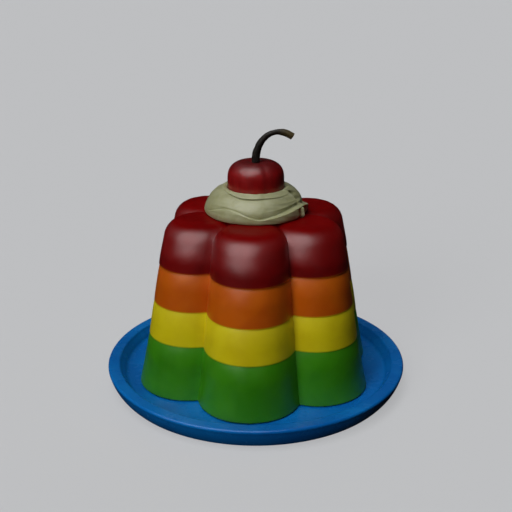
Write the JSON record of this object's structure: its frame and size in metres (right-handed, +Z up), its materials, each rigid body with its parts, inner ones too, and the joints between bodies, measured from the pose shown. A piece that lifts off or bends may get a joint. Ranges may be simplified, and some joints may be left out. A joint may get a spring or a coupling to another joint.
{
  "type": "moulded jelly",
  "caption": "Fluted moulded jelly in green, yellow, orange and red layers on a round blue plate, topped with a swirl of cream and a cherry on its stem.",
  "frame": {"origin": "centre of the plate's underside, on the surface it stands on", "axes": "+Z up along the jelly's axis; -Y towards one lobe, which is the front; the cherry's stem bends over towards +X"},
  "size_m": [0.15, 0.15, 0.1272],
  "materials": {
    "blue_glaze": "glossy blue glaze",
    "green_jelly": "wet, translucent gelatin",
    "yellow_jelly": "wet, translucent gelatin",
    "orange_jelly": "wet, translucent gelatin",
    "red_jelly": "wet, translucent gelatin",
    "cream": "soft whipped cream",
    "cherry_skin": "glossy fruit skin",
    "stem_bark": "dry, dark stalk"
  },
  "bodies": {
    "root": {"plate": "blue_glaze", "jelly_green": "green_jelly", "jelly_yellow": "yellow_jelly", "jelly_orange": "orange_jelly", "jelly_red": "red_jelly", "cream": "cream", "cherry": "cherry_skin", "cherry_stem": "stem_bark"}
  },
  "joints": []
}
